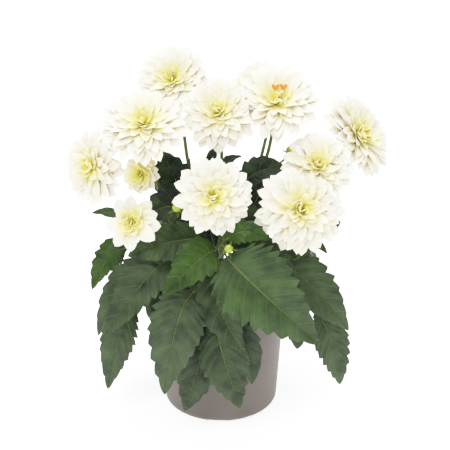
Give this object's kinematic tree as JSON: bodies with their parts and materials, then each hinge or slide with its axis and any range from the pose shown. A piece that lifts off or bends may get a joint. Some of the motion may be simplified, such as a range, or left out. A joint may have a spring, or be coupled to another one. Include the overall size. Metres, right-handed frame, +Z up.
{
  "type": "potted dahlia",
  "caption": "Bushy potted dahlia: leafy branching shoots with cream double blooms, green buds and toothed leaves arching over a tapered plastic nursery pot filled with soil.",
  "frame": {"origin": "centre of the pot's base, on the floor", "axes": "+Z up along the pot's axis; -Y towards the plant's best side, the one in the picture; +X towards its right as seen from there"},
  "size_m": [0.3389, 0.2451, 0.3718],
  "materials": {
    "pot_plastic": "satin taupe polypropylene",
    "soil_peat": "matt damp peat compost",
    "leaf_green": "living leaf with a soft sheen",
    "petal_cream": "soft petal, cream to lemon",
    "floret_orange": "matt orange floret"
  },
  "bodies": {
    "root": {"pot": "pot_plastic", "soil": "soil_peat", "shoot_left": "leaf_green", "shoot_back_left": "leaf_green", "shoot_front": "leaf_green", "shoot_right": "leaf_green", "shoot_back_right": "leaf_green", "bloom_01_back_left": "petal_cream", "bloom_02_upper_left": "petal_cream", "bloom_03_upper_middle": "petal_cream", "bloom_04_far_left": "petal_cream", "bloom_05_middle": "petal_cream", "bloom_06_half_open_left": "petal_cream", "bloom_07_upper_right": "petal_cream", "bloom_08_back_middle": "petal_cream", "bloom_09_right": "petal_cream", "bloom_10_lower_right": "petal_cream", "bloom_11_far_right": "petal_cream", "bloom_12_small_left": "petal_cream", "bloom_07_orange_florets": "floret_orange"}
  },
  "joints": []
}
